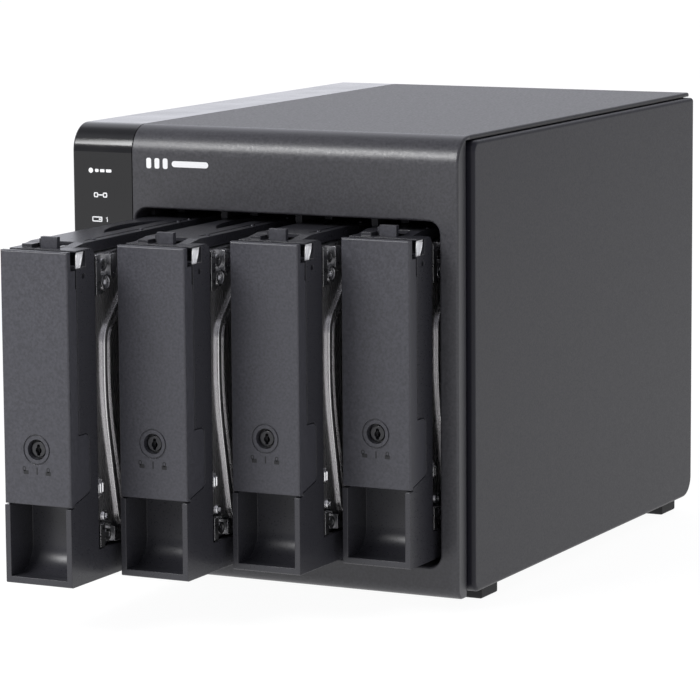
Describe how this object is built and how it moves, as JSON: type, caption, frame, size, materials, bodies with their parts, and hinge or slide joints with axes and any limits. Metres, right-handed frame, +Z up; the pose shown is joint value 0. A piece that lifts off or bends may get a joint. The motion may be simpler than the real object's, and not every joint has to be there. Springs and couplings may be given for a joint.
{
  "type": "network attached storage enclosure",
  "caption": "Desktop drive enclosure with removable lever-latched drive trays, shown part pulled out, each holding a 3.5 inch drive.",
  "frame": {"origin": "on the desk, under the middle of the bounding box with the trays as stored (part pulled out)", "axes": "+Z up, -Y out of the front where the trays come out, +X to the right seen from the front"},
  "size_m": [0.16, 0.3144, 0.1685],
  "materials": {
    "bezel_plastic": "fine spark-eroded texture",
    "cover_plastic": "satin",
    "side_plastic": "satin",
    "gloss_panel": "piano black",
    "chassis_paint": "fine black powder coat",
    "black_steel": "black oxide",
    "foot_rubber": "matte",
    "inner_plastic": "matte",
    "tray_plastic": "fine texture",
    "lever_plastic": "fine spark-eroded texture",
    "lock_metal": "satin black",
    "bright_steel": "bright nickel plate",
    "drive_alloy": "cast and machined",
    "drive_steel": "polished",
    "board_laminate": "solder mask",
    "socket_plastic": "moulded",
    "fan_plastic": "moulded",
    "light_pipe": "clear",
    "switch_body": "moulded",
    "switch_slider": "moulded"
  },
  "bodies": {
    "root": {"front_bezel": "bezel_plastic", "status_panel": "gloss_panel", "top_cover": "cover_plastic", "top_trim_strip": "gloss_panel", "side_panel_right": "side_plastic", "side_panel_left": "side_plastic", "chassis_shell": "chassis_paint", "rear_panel": "chassis_paint", "rear_screws": "black_steel", "foot_pads": "foot_rubber", "foot_brackets": "side_plastic", "upper_guide_plate": "inner_plastic", "lower_guide_plate": "inner_plastic", "backplane_board": "board_laminate", "drive_sockets": "socket_plastic", "main_board": "board_laminate", "lamp_board": "board_laminate", "light_pipes": "light_pipe", "usb_socket": "bright_steel", "dc_inlet": "socket_plastic", "dip_switch_block": "switch_body", "fan_frame": "fan_plastic"},
    "fan_rotor": {"fan_rotor": "fan_plastic"},
    "power_button": {"power_button": "gloss_panel"},
    "set_button": {"set_button": "switch_body"},
    "dip_slider_1": {"dip_slider_1": "switch_slider"},
    "dip_slider_2": {"dip_slider_2": "switch_slider"},
    "dip_slider_3": {"dip_slider_3": "switch_slider"},
    "tray_1": {"tray_1_frame": "tray_plastic", "tray_1_pivot_pin": "bright_steel", "tray_1_springs": "bright_steel", "tray_1_strips": "inner_plastic", "tray_1_drive_casting": "drive_alloy", "tray_1_drive_cover": "drive_steel"},
    "lever_1": {"tray_1_lever": "lever_plastic"},
    "lock_1": {"tray_1_lock": "lock_metal"},
    "tray_2": {"tray_2_frame": "tray_plastic", "tray_2_pivot_pin": "bright_steel", "tray_2_springs": "bright_steel", "tray_2_strips": "inner_plastic", "tray_2_drive_casting": "drive_alloy", "tray_2_drive_cover": "drive_steel"},
    "lever_2": {"tray_2_lever": "lever_plastic"},
    "lock_2": {"tray_2_lock": "lock_metal"},
    "tray_3": {"tray_3_frame": "tray_plastic", "tray_3_pivot_pin": "bright_steel", "tray_3_springs": "bright_steel", "tray_3_strips": "inner_plastic", "tray_3_drive_casting": "drive_alloy", "tray_3_drive_cover": "drive_steel"},
    "lever_3": {"tray_3_lever": "lever_plastic"},
    "lock_3": {"tray_3_lock": "lock_metal"},
    "tray_4": {"tray_4_frame": "tray_plastic", "tray_4_pivot_pin": "bright_steel", "tray_4_springs": "bright_steel", "tray_4_strips": "inner_plastic", "tray_4_drive_casting": "drive_alloy", "tray_4_drive_cover": "drive_steel"},
    "lever_4": {"tray_4_lever": "lever_plastic"},
    "lock_4": {"tray_4_lock": "lock_metal"}
  },
  "joints": [
    {"name": "fan_spin", "type": "hinge", "parent": "root", "child": "fan_rotor", "pos_m": [0.01, 0.14715, 0.084], "axis": [0, 1, 0], "continuous": true},
    {"name": "power_press", "type": "slide", "parent": "root", "child": "power_button", "axis": [0, 1, 0], "range_m": [0, 0.0015], "stiffness_N_per_m": 600, "springref_m": -0.0005},
    {"name": "set_press", "type": "slide", "parent": "root", "child": "set_button", "axis": [0, -1, 0], "range_m": [0, 0.001], "stiffness_N_per_m": 500, "springref_m": -0.0004},
    {"name": "dip_1_slide", "type": "slide", "parent": "root", "child": "dip_slider_1", "axis": [1, 0, 0], "range_m": [0, 0.0025]},
    {"name": "dip_2_slide", "type": "slide", "parent": "root", "child": "dip_slider_2", "axis": [1, 0, 0], "range_m": [0, 0.0025]},
    {"name": "dip_3_slide", "type": "slide", "parent": "root", "child": "dip_slider_3", "axis": [1, 0, 0], "range_m": [0, 0.0025]},
    {"name": "tray_1_slide", "type": "slide", "parent": "root", "child": "tray_1", "axis": [0, -1, 0], "range_m": [-0.0953, 0.0797]},
    {"name": "lever_1_swing", "type": "hinge", "parent": "tray_1", "child": "lever_1", "pos_m": [-0.0368, -0.14615, 0.125], "axis": [-1, 0, 0], "range_deg": [0, 25]},
    {"name": "lock_1_turn", "type": "hinge", "parent": "lever_1", "child": "lock_1", "pos_m": [-0.0368, -0.15215, 0.0658], "axis": [0, 1, 0], "range_deg": [0, 90]},
    {"name": "tray_2_slide", "type": "slide", "parent": "root", "child": "tray_2", "axis": [0, -1, 0], "range_m": [-0.0688, 0.1062]},
    {"name": "lever_2_swing", "type": "hinge", "parent": "tray_2", "child": "lever_2", "pos_m": [-0.0064, -0.11965, 0.125], "axis": [-1, 0, 0], "range_deg": [0, 25]},
    {"name": "lock_2_turn", "type": "hinge", "parent": "lever_2", "child": "lock_2", "pos_m": [-0.0064, -0.12565, 0.0658], "axis": [0, 1, 0], "range_deg": [0, 90]},
    {"name": "tray_3_slide", "type": "slide", "parent": "root", "child": "tray_3", "axis": [0, -1, 0], "range_m": [-0.0436, 0.1314]},
    {"name": "lever_3_swing", "type": "hinge", "parent": "tray_3", "child": "lever_3", "pos_m": [0.024, -0.09445, 0.125], "axis": [-1, 0, 0], "range_deg": [0, 25]},
    {"name": "lock_3_turn", "type": "hinge", "parent": "lever_3", "child": "lock_3", "pos_m": [0.024, -0.10045, 0.0658], "axis": [0, 1, 0], "range_deg": [0, 90]},
    {"name": "tray_4_slide", "type": "slide", "parent": "root", "child": "tray_4", "axis": [0, -1, 0], "range_m": [-0.0186, 0.1564]},
    {"name": "lever_4_swing", "type": "hinge", "parent": "tray_4", "child": "lever_4", "pos_m": [0.0544, -0.06945, 0.125], "axis": [-1, 0, 0], "range_deg": [0, 25]},
    {"name": "lock_4_turn", "type": "hinge", "parent": "lever_4", "child": "lock_4", "pos_m": [0.0544, -0.07545, 0.0658], "axis": [0, 1, 0], "range_deg": [0, 90]}
  ]
}
